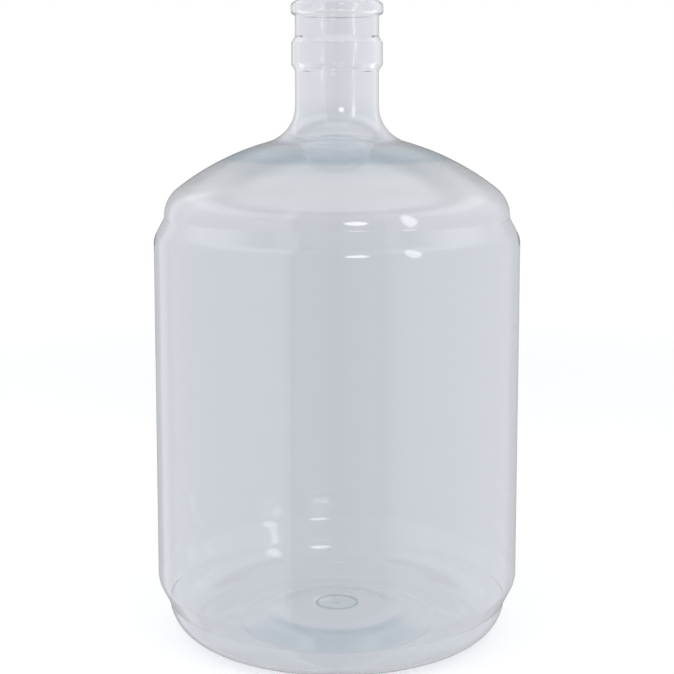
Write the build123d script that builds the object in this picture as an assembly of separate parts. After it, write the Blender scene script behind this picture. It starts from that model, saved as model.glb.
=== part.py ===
from build123d import *
from math import atan2, pi, sqrt, tan
import os

# A clear blow-moulded carboy: one hollow plastic shell, open at the mouth, turned from one section.
# Sizes are in millimetres. The origin is on the axis, in the plane that the carboy stands on.
overall_height = 401.0
body_radius = 115.6

# Neck finish: a rounded lip, with a flat band below it for a push-on cap.
bore_radius = 23.4
neck_radius = 26.3
neck_length = 83.8
lip_radius = 28.9
lip_height = 8.8
lip_top_round = 4.0
lip_under_round = 2.2
lip_neck_round = 0.4
mouth_round = 0.9
band_radius = 28.7
band_drop = 26.1
band_height = 13.2
band_chamfer_height = 4.0
neck_round = 1.4

# Shoulder: part of a sphere, flared into the neck and rounded over into a narrower waist.
shoulder_sphere_radius = 163.0
flare_radius = 23.5
shoulder_round = 22.0
shoulder_inset = 6.6
waist_drop = 11.3
shoulder_chamfer_height = 12.3
groove_round = 2.0
body_edge_round = 15.0

# Heel: the wall chamfers in to a notch, leans in a little, then rounds under to a narrow flat ring.
heel_inset = 7.1
heel_height = 21.6
heel_chamfer_height = 13.9
heel_lean = 2.3
heel_round = 22.4
notch_round = 2.2
standing_ring_width = 3.0
standing_ring_round = 3.0

# Base: a shallow cone inside the ring, then a low dome, pushed up by an insert round the gate.
dome_edge_radius = 62.0
dome_edge_height = 2.8
dome_edge_round = 3.0
dome_height = 11.6
insert_radius = 39.0
insert_step = 0.4
insert_ramp = 3.0
insert_round = 4.0
gate_radius = 13.4
gate_recess = 0.5
gate_ramp = 1.0
gate_round = 0.6
vestige_radius = 1.8
vestige_length = 0.4
vestige_round = 0.3

# Wall: thin where the plastic was blown out, thicker where the neck and the gate held it back.
body_wall = 1.0
shoulder_thick_wall = 2.4
shoulder_thick_radius = 64.0
shoulder_thinning_length = 32.0
shoulder_thinning_round = 60.0
base_thick_wall = 2.4
base_thick_radius = 44.0
base_thinning_length = 20.0
base_thinning_round = 20.0


def cap_height(top_height, sphere_radius, radius):
    """Height of a spherical cap, centred on the axis, at a distance from the axis."""
    return top_height - sphere_radius + sqrt(sphere_radius**2 - radius**2)


def cap_arc(top_height, sphere_radius, start_radius, end_radius):
    """Section of a spherical cap between two distances from the axis."""
    middle_radius = (start_radius + end_radius) / 2
    radii = (start_radius, middle_radius, end_radius)
    return ThreePointArc(*[(radius, cap_height(top_height, sphere_radius, radius)) for radius in radii])


def rounded(sketch, corners):
    """The section with each listed corner rounded to its own radius."""
    for corner, radius in corners:
        vertex = sketch.vertices().sort_by_distance(Vector(*corner))[0]
        sketch = fillet(vertex, radius)
    return sketch


# Levels and radii that follow from the sizes above.
lip_bottom = overall_height - lip_height
band_top = overall_height - band_drop
band_bottom = band_top - band_height
shoulder_root = overall_height - neck_length
shoulder_top = shoulder_root + shoulder_sphere_radius - sqrt(shoulder_sphere_radius**2 - neck_radius**2)
waist_radius = body_radius - shoulder_inset
groove_height = cap_height(shoulder_top, shoulder_sphere_radius, waist_radius) - waist_drop
body_top = groove_height - shoulder_chamfer_height
body_bottom = heel_height + heel_chamfer_height
heel_radius = body_radius - heel_inset
heel_foot = heel_radius - heel_lean
heel_round_reach = heel_round * tan(pi / 4 - atan2(heel_lean, heel_height) / 2)
standing_radius = heel_foot - heel_round_reach - standing_ring_width
dome_rise = dome_height - dome_edge_height
dome_sphere_radius = (dome_edge_radius**2 + dome_rise**2) / (2 * dome_rise)


def outer_section():
    """Half section of the outside, filled in to the axis."""
    shoulder = cap_arc(shoulder_top, shoulder_sphere_radius, neck_radius, waist_radius)
    dome = cap_arc(dome_height, dome_sphere_radius, dome_edge_radius, insert_radius)
    insert = cap_arc(dome_height + insert_step, dome_sphere_radius, insert_radius - insert_ramp, gate_radius)
    gate = cap_arc(
        dome_height + insert_step + gate_recess, dome_sphere_radius, gate_radius - gate_ramp, vestige_radius
    )
    vestige_tip = (gate @ 1).Y - vestige_length
    neck = Polyline(
        (0, overall_height),
        (lip_radius, overall_height),
        (lip_radius, lip_bottom),
        (neck_radius, lip_bottom),
        (neck_radius, band_top + band_chamfer_height),
        (band_radius, band_top),
        (band_radius, band_bottom),
        (neck_radius, band_bottom - band_chamfer_height),
        shoulder @ 0,
    )
    body = Polyline(
        shoulder @ 1,
        (waist_radius, groove_height),
        (body_radius, body_top),
        (body_radius, body_bottom),
        (heel_radius, heel_height),
        (heel_foot, 0),
        (standing_radius, 0),
        dome @ 0,
    )
    vestige = Polyline(gate @ 1, (vestige_radius, vestige_tip), (0, vestige_tip), (0, overall_height))
    ramps = Line(dome @ 1, insert @ 0) + Line(insert @ 1, gate @ 0)
    outline = neck + shoulder + body + dome + insert + gate + ramps + vestige
    corners = [
        ((lip_radius, overall_height), lip_top_round),
        ((lip_radius, lip_bottom), lip_under_round),
        ((neck_radius, lip_bottom), lip_neck_round),
        ((neck_radius, band_top + band_chamfer_height), neck_round),
        ((band_radius, band_top), neck_round),
        ((band_radius, band_bottom), neck_round),
        ((neck_radius, band_bottom - band_chamfer_height), neck_round),
        (shoulder @ 0, flare_radius),
        (shoulder @ 1, shoulder_round),
        ((waist_radius, groove_height), groove_round),
        ((body_radius, body_top), body_edge_round),
        ((body_radius, body_bottom), body_edge_round),
        ((heel_radius, heel_height), notch_round),
        ((heel_foot, 0), heel_round),
        ((standing_radius, 0), standing_ring_round),
        (dome @ 0, dome_edge_round),
        (dome @ 1, insert_round),
        (insert @ 0, insert_round),
        (insert @ 1, gate_round),
        (gate @ 0, gate_round),
        ((vestige_radius, vestige_tip), vestige_round),
    ]
    return rounded(make_face(outline), corners)


def cavity_section():
    """Half section of the inside, each wall thickness in from the outside."""
    thick_shoulder = cap_arc(
        shoulder_top - shoulder_thick_wall,
        shoulder_sphere_radius - shoulder_thick_wall,
        bore_radius,
        shoulder_thick_radius,
    )
    thin_shoulder = cap_arc(
        shoulder_top - body_wall,
        shoulder_sphere_radius - body_wall,
        shoulder_thick_radius + shoulder_thinning_length,
        waist_radius - body_wall,
    )
    middle_radius = shoulder_thick_radius + shoulder_thinning_length / 2
    middle_wall = (shoulder_thick_wall + body_wall) / 2
    middle_height = cap_height(shoulder_top - middle_wall, shoulder_sphere_radius - middle_wall, middle_radius)
    thinning = ThreePointArc(thick_shoulder @ 1, (middle_radius, middle_height), thin_shoulder @ 0)
    thick_base = cap_arc(dome_height + base_thick_wall, dome_sphere_radius, base_thick_radius, 0)
    thin_base_radius = base_thick_radius + base_thinning_length
    cone_slope = dome_edge_height / (standing_radius - dome_edge_radius)
    thin_base = Vector(thin_base_radius, body_wall + (standing_radius - thin_base_radius) * cone_slope)
    body = Polyline(
        thin_shoulder @ 1,
        (waist_radius - body_wall, groove_height),
        (body_radius - body_wall, body_top),
        (body_radius - body_wall, body_bottom),
        (heel_radius - body_wall, heel_height),
        (heel_foot - body_wall, body_wall),
        (standing_radius, body_wall),
        thin_base,
        thick_base @ 0,
    )
    outline = (
        Polyline((0, overall_height), (bore_radius, overall_height), thick_shoulder @ 0)
        + thick_shoulder
        + thinning
        + thin_shoulder
        + body
        + thick_base
        + Line(thick_base @ 1, (0, overall_height))
    )
    corners = [
        (thick_shoulder @ 0, flare_radius + neck_radius - bore_radius),
        (thick_shoulder @ 1, shoulder_thinning_round),
        (thin_shoulder @ 0, shoulder_thinning_round),
        (thin_shoulder @ 1, shoulder_round - body_wall),
        ((waist_radius - body_wall, groove_height), groove_round + body_wall),
        ((body_radius - body_wall, body_top), body_edge_round - body_wall),
        ((body_radius - body_wall, body_bottom), body_edge_round - body_wall),
        ((heel_radius - body_wall, heel_height), notch_round + body_wall),
        ((heel_foot - body_wall, body_wall), heel_round - body_wall),
        ((standing_radius, body_wall), standing_ring_round + body_wall),
        (thin_base, base_thinning_round),
        (thick_base @ 0, base_thinning_round),
    ]
    return rounded(make_face(outline), corners)


def carboy():
    """The shell: the wall's half section turned about the axis."""
    wall = outer_section() - cavity_section()
    wall = rounded(wall, [((bore_radius, overall_height), mouth_round)])
    return revolve(Plane.XZ * wall, Axis.Z)


os.makedirs("parts", exist_ok=True)
export_step(carboy(), "parts/carboy.step")
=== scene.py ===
# A clear blow-moulded carboy, open at the mouth, standing on a pale floor in a white studio.
import math

import bpy
import numpy as np
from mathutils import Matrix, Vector


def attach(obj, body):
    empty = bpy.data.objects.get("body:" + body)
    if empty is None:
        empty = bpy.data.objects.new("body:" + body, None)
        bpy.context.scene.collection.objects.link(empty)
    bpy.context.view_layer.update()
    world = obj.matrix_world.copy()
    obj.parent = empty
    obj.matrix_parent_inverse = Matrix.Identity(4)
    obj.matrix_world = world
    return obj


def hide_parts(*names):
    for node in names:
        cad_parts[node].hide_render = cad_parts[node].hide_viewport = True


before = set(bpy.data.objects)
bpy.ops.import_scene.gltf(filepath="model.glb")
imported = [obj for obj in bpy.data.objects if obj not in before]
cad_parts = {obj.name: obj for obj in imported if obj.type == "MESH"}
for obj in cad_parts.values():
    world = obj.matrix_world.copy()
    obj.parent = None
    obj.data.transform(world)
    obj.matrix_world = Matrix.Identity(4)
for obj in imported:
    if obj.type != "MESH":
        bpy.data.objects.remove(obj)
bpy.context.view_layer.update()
mm = 0.001
print("frame loaded:", len(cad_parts), "node")

# The shell's sizes in millimetres, and how finely it is cut up. A room is how far short of a corner a cap's
# own points stop, so that the corner's round fits.
shell = dict(
    height=401.0, bodyRadius=115.6,
    boreRadius=23.4, neckRadius=26.3, neckLength=83.8,
    lipRadius=28.9, lipHeight=8.8, lipTopRound=4.0, lipUnderRound=2.2, lipNeckRound=0.4,
    lipFlat=1.2, mouthRound=0.9,
    bandRadius=28.7, bandDrop=26.1, bandHeight=13.2, bandChamfer=4.0, neckRound=1.4,
    shoulderSphere=163.0, flareRadius=23.5, shoulderRound=22.0, shoulderInset=6.6,
    waistDrop=11.3, shoulderChamfer=12.3, grooveRound=2.0, bodyEdgeRound=15.0,
    heelInset=7.1, heelHeight=21.6, heelChamfer=13.9, heelLean=2.3, heelRound=22.4, notchRound=2.2,
    ringWidth=3.0, ringRound=3.0,
    domeEdgeRadius=62.0, domeEdgeHeight=2.8, domeEdgeRound=7.0, domeHeight=11.6,
    insertRadius=39.0, insertStep=0.4, insertRamp=7.0, insertRound=25.0,
    gateRadius=13.4, gateRecess=0.5, gateRamp=1.0, gateRound=0.6,
    vestigeRadius=1.8, vestigeLength=0.4, vestigeRound=0.3,
    domeRoom=4.0, insertRoom=3.0, gateRoom=1.0, vestigeRoom=0.3,
    bodyWall=1.0, shoulderWall=2.4, shoulderThickTo=64.0, shoulderThinning=32.0, thinningEase=0.12,
    baseWall=2.4, baseThickTo=44.0, baseThinning=20.0, baseThinningRound=20.0,
    segments=200, longestStep=6.0, leastStep=0.001, arcStep=math.radians(7), fewestArcSteps=4,
    capCount=24, thinningCount=48, easeCount=9,
)


def arcPoints(centre, radius, startAngle, endAngle):
    # points at centre + radius * (cos a, sin a), for a from start to end
    steps = max(int(abs(endAngle - startAngle) / shell["arcStep"]), shell["fewestArcSteps"])
    a = np.linspace(startAngle, endAngle, steps + 1)
    return np.column_stack([centre[0] + radius * np.cos(a), centre[1] + radius * np.sin(a)])


def capHeight(top, sphere, r):
    # height of a spherical cap over its axis: top - sphere + sqrt(sphere^2 - r^2)
    return top - sphere + np.sqrt(sphere**2 - np.square(r))


def capPoints(top, sphere, startRadius, endRadius, count=shell["capCount"]):
    # the cap's section at evenly spaced distances from the axis
    r = np.linspace(startRadius, endRadius, count)
    return np.column_stack([r, capHeight(top, sphere, r)])


def capToWall(top, sphere, wallRadius, roundRadius, outside):
    # the arc that joins a cap to an upright wall: its centre is roundRadius from both,
    # inside the cap on the shoulder, and over it at the flare
    side = 1 if outside else -1
    centreRadius = wallRadius + side * roundRadius
    reach = sphere + side * roundRadius
    centreHeight = top - sphere + math.sqrt(reach**2 - centreRadius**2)
    lean = math.acos(centreRadius / reach)
    wallAngle, capAngle = (math.pi, math.pi + lean) if outside else (0.0, lean)
    return arcPoints((centreRadius, centreHeight), roundRadius, wallAngle, capAngle)


def roundCorners(points, radii):
    # each corner with a radius becomes the arc tangent to its two sides
    out = [points[:1]]
    for before, corner, after, radius in zip(points[:-2], points[1:-1], points[2:], radii[1:-1]):
        if radius == 0:
            out.append(corner[None])
            continue
        a = (before - corner) / np.linalg.norm(before - corner)
        b = (after - corner) / np.linalg.norm(after - corner)
        half = math.acos(np.clip(a @ b, -1, 1)) / 2
        start = corner + a * radius / math.tan(half)
        end = corner + b * radius / math.tan(half)
        centre = corner + (a + b) / np.linalg.norm(a + b) * radius / math.sin(half)
        first = math.atan2(*(start - centre)[::-1])
        turn = (math.atan2(*(end - centre)[::-1]) - first + math.pi) % (2 * math.pi) - math.pi
        out.append(arcPoints(centre, radius, first, first + turn))
    out.append(points[-1:])
    return np.vstack(out)


def splitLongRuns(points, longest):
    # straight runs get evenly spaced points, so that the wall can wave gently
    out = [points[:1]]
    for a, b in zip(points[:-1], points[1:]):
        count = max(int(np.linalg.norm(b - a) / longest), 1)
        out.append(a + (b - a) * (np.arange(1, count + 1) / count)[:, None])
    return np.vstack(out)


def dropRepeats(points):
    # leaves out each point that stands on the one before it
    steps = np.linalg.norm(np.diff(points[:, :2], axis=0), axis=1)
    return points[np.append(True, steps > shell["leastStep"])]


def joinPath(*parts):
    # parts are (radius, height, rounding) corners or arrays of points with no rounding
    rows = []
    for part in parts:
        part = np.atleast_2d(np.asarray(part, float))
        rows.append(part if part.shape[1] == 3 else np.column_stack([part, np.zeros(len(part))]))
    rows = dropRepeats(np.vstack(rows))
    return splitLongRuns(dropRepeats(roundCorners(rows[:, :2], rows[:, 2])), shell["longestStep"])


def shellSection():
    # the wall's section, first up the inside from the gate to the lip, then down the outside to the gate
    s = shell
    wall = s["bodyWall"]
    top = s["height"]
    sphere = s["shoulderSphere"]
    shoulderTop = top - s["neckLength"] + sphere - math.sqrt(sphere**2 - s["neckRadius"]**2)
    waist = s["bodyRadius"] - s["shoulderInset"]
    groove = capHeight(shoulderTop, sphere, waist) - s["waistDrop"]
    bodyTop = groove - s["shoulderChamfer"]
    bodyBottom = s["heelHeight"] + s["heelChamfer"]
    heel = s["bodyRadius"] - s["heelInset"]
    foot = heel - s["heelLean"]
    lean = math.atan2(s["heelLean"], s["heelHeight"])
    standing = foot - s["heelRound"] * math.tan(math.pi / 4 - lean / 2) - s["ringWidth"]
    rise = s["domeHeight"] - s["domeEdgeHeight"]
    domeSphere = (s["domeEdgeRadius"]**2 + rise**2) / (2 * rise)
    coneSlope = s["domeEdgeHeight"] / (standing - s["domeEdgeRadius"])
    insertTop = s["domeHeight"] + s["insertStep"]
    insertEdge = s["insertRadius"] - s["insertRamp"]
    gateTop = insertTop + s["gateRecess"]
    gateEdge = s["gateRadius"] - s["gateRamp"]
    vestigeTip = capHeight(gateTop, domeSphere, s["vestigeRadius"]) - s["vestigeLength"]
    baseTop = s["domeHeight"] + s["baseWall"]
    thinBase = s["baseThickTo"] + s["baseThinning"]
    thick = s["shoulderWall"]
    flareInside = s["flareRadius"] + s["neckRadius"] - s["boreRadius"]
    edgeInside = capToWall(shoulderTop - wall, sphere - wall, waist - wall, s["shoulderRound"] - wall, False)
    rootInside = capToWall(shoulderTop - thick, sphere - thick, s["boreRadius"], flareInside, True)
    # the shoulder's wall goes from thick to thin along the cap: a straight ramp, averaged over small shifts
    thinningSpan = (edgeInside[-1, 0], rootInside[-1, 0], s["thinningCount"])
    along = (np.linspace(*thinningSpan) - s["shoulderThickTo"]) / s["shoulderThinning"]
    shifts = np.linspace(-s["thinningEase"], s["thinningEase"], s["easeCount"])
    eased = np.mean([np.clip(along + shift, 0, 1) for shift in shifts], axis=0)
    thinning = thick + (wall - thick) * eased
    edgeOutside = capToWall(shoulderTop, sphere, waist, s["shoulderRound"], False)
    rootOutside = capToWall(shoulderTop, sphere, s["neckRadius"], s["flareRadius"], True)
    lipMiddle = s["boreRadius"] + s["lipFlat"]
    lipBottom = top - s["lipHeight"]
    bandTop = top - s["bandDrop"]
    bandBottom = bandTop - s["bandHeight"]
    inside = joinPath(
        capPoints(baseTop, domeSphere, 0, s["baseThickTo"])[:-1],
        (s["baseThickTo"], capHeight(baseTop, domeSphere, s["baseThickTo"]), s["baseThinningRound"]),
        (thinBase, wall + (standing - thinBase) * coneSlope, s["baseThinningRound"]),
        (standing, wall, s["ringRound"] + wall),
        (foot - wall, wall, s["heelRound"] - wall),
        (heel - wall, s["heelHeight"], s["notchRound"] + wall),
        (s["bodyRadius"] - wall, bodyBottom, s["bodyEdgeRound"] - wall),
        (s["bodyRadius"] - wall, bodyTop, s["bodyEdgeRound"] - wall),
        (waist - wall, groove, s["grooveRound"] + wall),
        edgeInside,
        capPoints(shoulderTop - thinning, sphere - thinning, *thinningSpan)[1:-1],
        rootInside[::-1],
        (s["boreRadius"], top, s["mouthRound"]),
        (lipMiddle, top, 0),
    )
    outside = joinPath(
        (lipMiddle, top, 0),
        (s["lipRadius"], top, s["lipTopRound"]),
        (s["lipRadius"], lipBottom, s["lipUnderRound"]),
        (s["neckRadius"], lipBottom, s["lipNeckRound"]),
        (s["neckRadius"], bandTop + s["bandChamfer"], s["neckRound"]),
        (s["bandRadius"], bandTop, s["neckRound"]),
        (s["bandRadius"], bandBottom, s["neckRound"]),
        (s["neckRadius"], bandBottom - s["bandChamfer"], s["neckRound"]),
        rootOutside,
        capPoints(shoulderTop, sphere, rootOutside[-1, 0], edgeOutside[-1, 0])[1:-1],
        edgeOutside[::-1],
        (waist, groove, s["grooveRound"]),
        (s["bodyRadius"], bodyTop, s["bodyEdgeRound"]),
        (s["bodyRadius"], bodyBottom, s["bodyEdgeRound"]),
        (heel, s["heelHeight"], s["notchRound"]),
        (foot, 0, s["heelRound"]),
        (standing, 0, s["ringRound"]),
        (s["domeEdgeRadius"], s["domeEdgeHeight"], s["domeEdgeRound"]),
        capPoints(s["domeHeight"], domeSphere, s["domeEdgeRadius"] - s["domeRoom"],
                  s["insertRadius"] + s["insertRoom"])[1:],
        (s["insertRadius"], capHeight(s["domeHeight"], domeSphere, s["insertRadius"]), s["insertRound"]),
        (insertEdge, capHeight(insertTop, domeSphere, insertEdge), s["insertRound"]),
        capPoints(insertTop, domeSphere, insertEdge - s["insertRoom"], s["gateRadius"] + s["gateRoom"]),
        (s["gateRadius"], capHeight(insertTop, domeSphere, s["gateRadius"]), s["gateRound"]),
        (gateEdge, capHeight(gateTop, domeSphere, gateEdge), s["gateRound"]),
        capPoints(gateTop, domeSphere, gateEdge - s["gateRoom"], s["vestigeRadius"] + s["vestigeRoom"]),
        (s["vestigeRadius"], capHeight(gateTop, domeSphere, s["vestigeRadius"]), 0),
        (s["vestigeRadius"], vestigeTip, s["vestigeRound"]),
        (0, vestigeTip, 0),
    )
    return np.vstack([inside, outside[1:]]) * mm


# Slow waves that the blown wall keeps, in metres. Each part has its count round, its length up and its turn.
waves = dict(
    depth=0.00016, fromHeight=0.03, toHeight=0.235, fade=0.03, fromRadius=0.07,
    parts=(
        (5, 0.21, 0.4), (8, 0.33, 2.1), (13, -0.17, 4.4), (11, 0.09, 1.2), (19, 0.26, 5.3), (7, -0.062, 3.0),
    ),
)


def wallWaves(r, z, t):
    # how far in each point stands: depth * (mean of 0.5 - 0.5 cos(n t + 2 pi z / length + turn)), faded out
    # at the heel, the shoulder and the base
    w = waves
    grids = [0.5 - 0.5 * np.cos(n * t[None] + 2 * math.pi * z[:, None] / length + turn)
             for n, length, turn in w["parts"]]
    fromBelow = np.clip((z - w["fromHeight"]) / w["fade"], 0, 1)
    fromAbove = np.clip((w["toHeight"] + w["fade"] - z) / w["fade"], 0, 1)
    fade = fromBelow * fromAbove
    fade = fade * fade * (3 - 2 * fade) * (r > w["fromRadius"])
    return w["depth"] * np.mean(grids, axis=0) * fade[:, None]


def turnedMesh(name, section, segments):
    # a closed section turned about Z: point (i, j) is (q_ij cos t_j, q_ij sin t_j, z_i), where q_ij is r_i
    # less the wall's waves, with one point at each pole
    t = np.arange(segments) * (2 * math.pi / segments)
    r, z = section[1:-1, 0], section[1:-1, 1]
    q = r[:, None] - wallWaves(r, z, t)
    rings = np.stack([q * np.cos(t), q * np.sin(t), np.repeat(z[:, None], segments, 1)], 2)
    poles = [(0, 0, section[0, 1]), (0, 0, section[-1, 1])]
    points = np.vstack([rings.reshape(-1, 3), poles])
    i, j = np.meshgrid(np.arange(len(r) - 1), np.arange(segments), indexing="ij")
    k = (j + 1) % segments
    here, above = i * segments, (i + 1) * segments
    quads = np.stack([above + j, above + k, here + k, here + j], 2).reshape(-1, 4)
    ring, follow = np.arange(segments), (np.arange(segments) + 1) % segments
    last = (len(r) - 1) * segments
    insideCap = np.column_stack([np.full(segments, len(points) - 2), ring, follow])
    outsideCap = np.column_stack([np.full(segments, len(points) - 1), last + follow, last + ring])
    mesh = bpy.data.meshes.new(name)
    mesh.from_pydata(points.tolist(), [], quads.tolist() + insideCap.tolist() + outsideCap.tolist())
    mesh.polygons.foreach_set("use_smooth", np.ones(len(mesh.polygons), bool))
    mesh.update()
    return mesh


# Clear plastic. A tint is what one wall lets through, but some tints are painted light and shade: a lighter
# shoulder, the base's ring darker towards the front and a dark rim round the gate. Every pair of distances in
# metres is a soft edge: the effect is absent at the first and full at the second. The roughness is zero but
# for a haze that the base and the shoulder have.
plastic = dict(
    bodyTint=(0.87, 0.885, 0.92), refraction=1.575, shadowTint=(0.93, 0.94, 0.96),
    neckTint=(0.93, 0.94, 0.97), neckUp=(0.325, 0.345),
    domeTintAndLight=(0.915, 0.927, 0.952), domeUp=(0.255, 0.285), domeOut=(0.0692, 0.0752),
    rootTint=(0.66, 0.76, 0.82), rootOut=(0.042, 0.0712), rootIn=(0.0724, 0.0712), rootUp=(0.28, 0.30),
    baseTintAndShade=(0.74, 0.82, 0.86), baseOut=(0.039, 0.042), baseIn=(0.0645, 0.0605), baseDown=(0.023, 0.02),
    baseShadeFront=(-0.15, -0.75), leastRadius=0.001,
    bandTintAndShade=(0.66, 0.76, 0.80), bandIn=(0.049, 0.043),
    gateTint=(0.81, 0.87, 0.88), gateIn=(0.0142, 0.0138), gateDown=(0.03, 0.02),
    rimShade=(0.5, 0.59, 0.62), rimOut=(0.0114, 0.01332),
    baseHaze=0.1, hazeShare=0.45, hazeIn=(0.07, 0.05), hazeDown=(0.044, 0.034),
    shoulderHaze=0.11, shoulderUp=(0.268, 0.28), shoulderOut=(0.032, 0.042),
)


class Nodes:
    # short calls for making and joining shader nodes
    def __init__(self, tree):
        self.tree = tree

    def add(self, kind, **settings):
        node = self.tree.nodes.new(kind)
        for key, value in settings.items():
            setattr(node, key, value)
        return node

    def join(self, a, b):
        self.tree.links.new(a, b)

    def fill(self, socket, value):
        if isinstance(value, bpy.types.NodeSocket):
            self.tree.links.new(value, socket)
        elif socket.type == "RGBA":
            socket.default_value = (*value[:3], 1.0)
        else:
            socket.default_value = value

    def maths(self, operation, *values):
        node = self.add("ShaderNodeMath", operation=operation)
        for socket, value in zip(node.inputs, values):
            self.fill(socket, value)
        return node.outputs[0]

    def product(self, *values):
        result = values[0]
        for value in values[1:]:
            result = self.maths("MULTIPLY", result, value)
        return result

    def total(self, *values):
        result = values[0]
        for value in values[1:]:
            result = self.maths("ADD", result, value)
        return result

    def step(self, value, absent, full):
        # 0 at absent and 1 at full, with a smooth rise between them, whichever is the larger
        node = self.add("ShaderNodeMapRange", interpolation_type="SMOOTHSTEP")
        for socket, number in zip(node.inputs, (value, absent, full, 0.0, 1.0)):
            self.fill(socket, number)
        return node.outputs[0]

    def blend(self, factor, a, b):
        node = self.add("ShaderNodeMix", data_type="RGBA")
        self.fill(node.inputs[0], factor)
        self.fill(node.inputs[6], a)
        self.fill(node.inputs[7], b)
        return node.outputs[2]

    def mixShaders(self, factor, a, b):
        node = self.add("ShaderNodeMixShader")
        self.fill(node.inputs[0], factor)
        self.join(a, node.inputs[1])
        self.join(b, node.inputs[2])
        return node.outputs[0]


def freshMaterial(name):
    material = bpy.data.materials.new(name)
    material.use_nodes = True
    material.node_tree.nodes.clear()
    return material, Nodes(material.node_tree)


def clearPlastic():
    # glass-like plastic, tinted by height for the neck and by radius for the thick rings; the shoulder's
    # lighter
    #     # tint, the base ring's front and the gate's dark rim are painted light and shade
    p = plastic
    material, n = freshMaterial("clearPlastic")
    place = n.add("ShaderNodeTexCoord").outputs["Object"]
    split = n.add("ShaderNodeSeparateXYZ")
    n.join(place, split.inputs[0])
    x, y, z = split.outputs
    radius = n.maths("SQRT", n.total(n.product(x, x), n.product(y, y)))
    neck = n.step(z, *p["neckUp"])
    # painted light: the outer shoulder takes a lighter tint than the body, so the top reads brighter
    shoulderLight = n.product(n.step(z, *p["domeUp"]), n.step(radius, *p["domeOut"]))
    root = n.product(n.step(radius, *p["rootOut"]), n.step(radius, *p["rootIn"]), n.step(z, *p["rootUp"]))
    # painted shade with the thick ring's tint: the base's ring shows only towards the front, where y / radius
    # is
    #     # well below zero
    front = n.step(n.maths("DIVIDE", y, n.maths("MAXIMUM", radius, p["leastRadius"])), *p["baseShadeFront"])
    ring = n.product(n.step(radius, *p["baseOut"]), n.step(radius, *p["baseIn"]))
    base = n.product(ring, n.step(z, *p["baseDown"]), front)
    # painted shade: the inner part of the front of the ring is darker still
    band = n.product(base, n.step(radius, *p["bandIn"]))
    gate = n.product(n.step(radius, *p["gateIn"]), n.step(z, *p["gateDown"]))
    # painted shade: a dark ring round the gate, just where its recess steps in
    gateRimShade = n.product(gate, n.step(radius, *p["rimOut"]))
    tint = n.blend(shoulderLight, p["bodyTint"], p["domeTintAndLight"])
    for mask, name in ((neck, "neckTint"), (root, "rootTint"), (base, "baseTintAndShade"), (band, "bandTintAndShade"),
                       (gate, "gateTint"), (gateRimShade, "rimShade")):
        tint = n.blend(mask, tint, p[name])
    solid = n.add("ShaderNodeBsdfPrincipled")
    n.fill(solid.inputs["Base Color"], tint)
    # in the base the haze is a share of its full amount, and all of it towards the middle
    share = n.total(p["hazeShare"], n.product(n.step(radius, *p["hazeIn"]), 1.0 - p["hazeShare"]))
    baseHaze = n.product(share, n.step(z, *p["hazeDown"]), p["baseHaze"])
    shoulder = n.product(n.step(z, *p["shoulderUp"]), n.step(radius, *p["shoulderOut"]), p["shoulderHaze"])
    n.fill(solid.inputs["Roughness"], n.total(baseHaze, shoulder))
    solid.inputs["IOR"].default_value = p["refraction"]
    solid.inputs["Transmission Weight"].default_value = 1.0
    shade = n.add("ShaderNodeBsdfTransparent")
    n.fill(shade.inputs["Color"], p["shadowTint"])
    isShadow = n.add("ShaderNodeLightPath").outputs["Is Shadow Ray"]
    mixed = n.mixShaders(isShadow, solid.outputs[0], shade.outputs[0])
    n.join(mixed, n.add("ShaderNodeOutputMaterial").inputs[0])
    return material


def addPiece(name, mesh, material):
    mesh.materials.append(material)
    piece = bpy.data.objects.new(name, mesh)
    bpy.context.scene.collection.objects.link(piece)
    return piece


section = shellSection()
carboy = addPiece("clear_carboy", turnedMesh("carboyShell", section, shell["segments"]), clearPlastic())
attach(carboy, "root")
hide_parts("carboy")
print("shell turned:", len(section), "points round the section,", len(carboy.data.polygons), "faces")

# The studio. Azimuths are degrees round from the camera, left to right, and elevations are degrees up.
# Mirrored is what the gloss shows: a dark gap in front, a wall on each side with a brighter edge, a brighter
# belt up each wall in rise, and a ceiling. Behind is what shows through the plastic, as a share of the
# backdrop, by azimuth and, in depth, by elevation. Flags are dark cards at both sides, high and low, that
# darken the edges of the plastic. Cards are white ones between them. Each lamp is an ellipse in the gloss:
# azimuth, elevation, half width, half height and strength.
studio = dict(
    backdrop=(0.74, 0.743, 0.748), mirrorTint=(0.97, 0.98, 1.0), ambient=(0.55, 0.56, 0.58),
    mirrored=(
        (-180, 0.2), (-171, 0.25), (-165, 0.45), (-148, 0.55), (-142, 1.05), (-135, 1.1), (-128, 0.9),
        (-118, 1.2), (-90, 1.3), (-60, 1.3), (-29.5, 1.25), (-28, 0.45), (-15, 0.55), (0, 0.42), (14, 0.6),
        (30, 0.75), (38, 1.15), (50, 1.35), (90, 1.5), (118, 1.2), (128, 1.1), (134, 0.95), (142, 0.65),
        (165, 0.45), (172, 0.25), (180, 0.2),
    ),
    rise=((-90, 0.85), (-40, 0.85), (-12, 1.0), (20, 1.0), (27, 1.6), (34, 1.6), (42, 0.9), (90, 0.9)),
    behind=(
        (-180, 1.0), (-150, 1.04), (-60, 1.06), (-33, 1.06), (-32, 0.5), (-31, 0.5), (-30, 0.88), (-12, 0.9),
        (0, 0.84), (8, 0.86), (14, 0.98), (30, 1.05), (45, 1.12), (150, 1.08), (180, 1.0),
    ),
    depth=((-90, 1.0), (44, 1.0), (60, 0.75), (90, 0.75)),
    ceiling=dict(brightness=1.5, sides=0.8, right=0.4, back=-0.6, up=(45.0, 55.0)),
    sideMiddle=95.0,
    flags=dict(aside=(52.0, 40.0), up=(36.0, 42.0), down=(58.0, 52.0), low=(-42.0, -54.0), darkest=0.25),
    cards=dict(aside=(55.0, 40.0), up=(6.0, 14.0), down=(40.0, 28.0), extra=0.3),
    lamps=((12.2, 13.5, 9.0, 7.0, 4.2), (48.3, 17.0, 6.5, 19.0, 2.4)), lampEdge=(1.0, 0.35),
)


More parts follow.
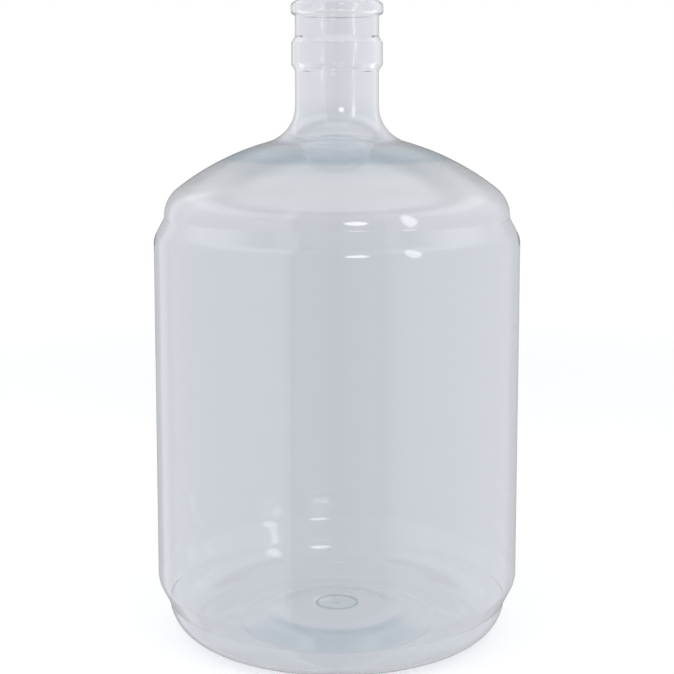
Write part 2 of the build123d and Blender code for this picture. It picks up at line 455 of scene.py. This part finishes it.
def rampFrom(n, value, stops, low, high):
    # a curve through (position, brightness) stops, with positions from low to high
    node = n.add("ShaderNodeValToRGB")
    n.fill(node.inputs[0], value)
    elements = node.color_ramp.elements
    while len(elements) < len(stops):
        elements.new(0.5)
    for element, (position, brightness) in zip(elements, stops):
        element.position = (position - low) / (high - low)
        element.color = (brightness, brightness, brightness, 1.0)
    return node.outputs[0]


def studioWorld():
    # white to the camera, the backdrop through the plastic, and studio walls with small lamps in its gloss
    s = studio
    world = bpy.data.worlds.new("studio")
    world.use_nodes = True
    world.node_tree.nodes.clear()
    bpy.context.scene.world = world
    n = Nodes(world.node_tree)
    way = n.add("ShaderNodeTexCoord").outputs["Generated"]
    split = n.add("ShaderNodeSeparateXYZ")
    n.join(way, split.inputs[0])
    x, y, z = split.outputs
    # turn and rise go from 0 to 1 over the whole circle and from straight down to straight up
    turn = n.maths("ARCTAN2", x, n.product(y, -1.0))
    turn = n.total(n.product(turn, 0.5 / math.pi), 0.5)
    rise = n.total(n.product(n.maths("ARCSINE", z), 1 / math.pi), 0.5)
    azimuth = n.maths("SUBTRACT", n.product(turn, 360.0), 180.0)
    height = n.product(n.maths("SUBTRACT", rise, 0.5), 180.0)
    # the ceiling's brightness changes evenly across the room and back, and it takes over from the walls
    c = s["ceiling"]
    up = n.step(z, *[math.sin(math.radians(angle)) for angle in c["up"]])
    across = n.total(n.product(n.maths("ABSOLUTE", x), c["sides"]), n.product(x, c["right"]))
    ceiling = n.total(c["brightness"], across, n.product(y, c["back"]))
    walls = n.product(rampFrom(n, turn, s["mirrored"], -180, 180), rampFrom(n, rise, s["rise"], -90, 90))
    mirrored = n.total(n.product(walls, n.maths("SUBTRACT", 1.0, up)), n.product(ceiling, up))
    behind = n.product(rampFrom(n, turn, s["behind"], -180, 180), rampFrom(n, rise, s["depth"], -90, 90))
    # flags and cards stand at both sides: away is how many degrees from their middle
    flags, cards = s["flags"], s["cards"]
    away = n.maths("ABSOLUTE", n.maths("SUBTRACT", n.maths("ABSOLUTE", azimuth), s["sideMiddle"]))
    steep = n.product(n.step(height, *flags["up"]), n.step(height, *flags["down"]))
    steep = n.maths("MAXIMUM", steep, n.step(height, *flags["low"]))
    dark = n.product(n.step(away, *flags["aside"]), steep, 1.0 - flags["darkest"])
    level = n.product(n.step(height, *cards["up"]), n.step(height, *cards["down"]))
    bright = n.product(level, n.step(away, *cards["aside"]), cards["extra"])
    behind = n.product(behind, n.maths("SUBTRACT", 1.0, dark), n.total(1.0, bright))
    spots = []
    for lampAzimuth, lampHeight, wide, tall, strength in s["lamps"]:
        across = n.maths("DIVIDE", n.maths("SUBTRACT", azimuth, lampAzimuth), wide)
        upward = n.maths("DIVIDE", n.maths("SUBTRACT", height, lampHeight), tall)
        squared = n.total(n.product(across, across), n.product(upward, upward))
        spots.append(n.product(n.step(squared, *s["lampEdge"]), strength))
    light = n.add("ShaderNodeLightPath").outputs
    seen = {}
    for name, colour in (("camera", (1, 1, 1)), ("through", s["backdrop"]), ("gloss", s["mirrorTint"]),
                         ("other", s["ambient"]), ("lamps", (1, 1, 1))):
        seen[name] = n.add("ShaderNodeBackground")
        n.fill(seen[name].inputs[0], colour)
    n.join(mirrored, seen["gloss"].inputs[1])
    n.join(behind, seen["through"].inputs[1])
    n.join(n.total(*spots), seen["lamps"].inputs[1])
    mixed = n.mixShaders(light["Is Glossy Ray"], seen["other"].outputs[0], seen["gloss"].outputs[0])
    mixed = n.mixShaders(light["Is Transmission Ray"], mixed, seen["through"].outputs[0])
    both = n.add("ShaderNodeAddShader")
    n.join(mixed, both.inputs[0])
    n.join(seen["lamps"].outputs[0], both.inputs[1])
    mixed = n.mixShaders(light["Is Camera Ray"], both.outputs[0], seen["camera"].outputs[0])
    n.join(mixed, n.add("ShaderNodeOutputWorld").inputs[0])


# The floor, which glows more with distance so that it meets the white without a line, and the square lamps
# that give it a soft shadow. Lengths are in metres, angles in degrees and powers in watts.
floor = dict(
    colour=(0.8, 0.8, 0.8), roughness=0.9, reach=4.0, drop=0.0006, glow=0.31, farGlow=0.22, glowAt=(0.4, 2.2),
)
softLamps = dict(
    leftLamp=dict(azimuth=-60, elevation=45, distance=1.6, width=1.2, power=9, aim=0.2),
    rightLamp=dict(azimuth=50, elevation=50, distance=1.6, width=1.2, power=9, aim=0.2),
)


def paleFloor():
    # pale, with the object's shadow, to the camera, and clear to all that the plastic mirrors or lets through
    f = floor
    material, n = freshMaterial("paleFloor")
    matt = n.add("ShaderNodeBsdfPrincipled")
    n.fill(matt.inputs["Base Color"], f["colour"])
    matt.inputs["Roughness"].default_value = f["roughness"]
    matt.inputs["Specular IOR Level"].default_value = 0.0
    n.fill(matt.inputs["Emission Color"], (1, 1, 1))
    distance = n.add("ShaderNodeVectorMath", operation="LENGTH")
    n.join(n.add("ShaderNodeTexCoord").outputs["Object"], distance.inputs[0])
    glow = n.product(n.step(distance.outputs["Value"], *f["glowAt"]), f["farGlow"])
    n.fill(matt.inputs["Emission Strength"], n.total(glow, f["glow"]))
    clear = n.add("ShaderNodeBsdfTransparent")
    light = n.add("ShaderNodeLightPath").outputs
    fromPlastic = n.maths("MAXIMUM", light["Is Transmission Ray"], light["Is Glossy Ray"])
    mixed = n.mixShaders(fromPlastic, matt.outputs[0], clear.outputs[0])
    n.join(mixed, n.add("ShaderNodeOutputMaterial").inputs[0])
    mesh = bpy.data.meshes.new("floor")
    corners = [(a * f["reach"], b * f["reach"], -f["drop"]) for a, b in ((-1, -1), (1, -1), (1, 1), (-1, 1))]
    mesh.from_pydata(corners, [], [(0, 1, 2, 3)])
    addPiece("floor", mesh, material)


def softLamp(name, azimuth, elevation, distance, width, power, aim):
    # a square lamp for the floor's shadow only, aimed at a height on the carboy's axis
    a, e = math.radians(azimuth), math.radians(elevation)
    target = Vector((0, 0, aim))
    data = bpy.data.lights.new(name, "AREA")
    data.size = width
    data.energy = power
    lamp = bpy.data.objects.new(name, data)
    way = Vector((math.sin(a) * math.cos(e), -math.cos(a) * math.cos(e), math.sin(e)))
    lamp.location = target + distance * way
    lamp.rotation_euler = (target - lamp.location).to_track_quat("-Z", "Y").to_euler()
    lamp.visible_camera = lamp.visible_glossy = lamp.visible_transmission = False
    bpy.context.scene.collection.objects.link(lamp)


studioWorld()
paleFloor()
for name, settings in softLamps.items():
    softLamp(name, **settings)
print("studio lit:", len(studio["lamps"]), "small lamps in the gloss and", len(softLamps), "over the floor")

# The camera stands a little above the shoulder and looks slightly down. Light may cross many walls.
view = dict(
    lens=76.9, sensor=36.0, shift=-64 / 674, place=(0, -0.9108, 0.339), down=6.82,
    bounces=96, mostBounces=128,
)


def addCamera():
    data = bpy.data.cameras.new("camera")
    data.lens = view["lens"]
    data.sensor_width = view["sensor"]
    data.shift_y = view["shift"]
    camera = bpy.data.objects.new("camera", data)
    camera.location = view["place"]
    camera.rotation_euler = (math.radians(90 - view["down"]), 0, 0)
    bpy.context.scene.collection.objects.link(camera)
    bpy.context.scene.camera = camera


addCamera()
bpy.context.scene.view_settings.view_transform = "Standard"
bpy.context.scene.cycles.transmission_bounces = view["bounces"]
bpy.context.scene.cycles.glossy_bounces = view["bounces"]
bpy.context.scene.cycles.max_bounces = view["mostBounces"]
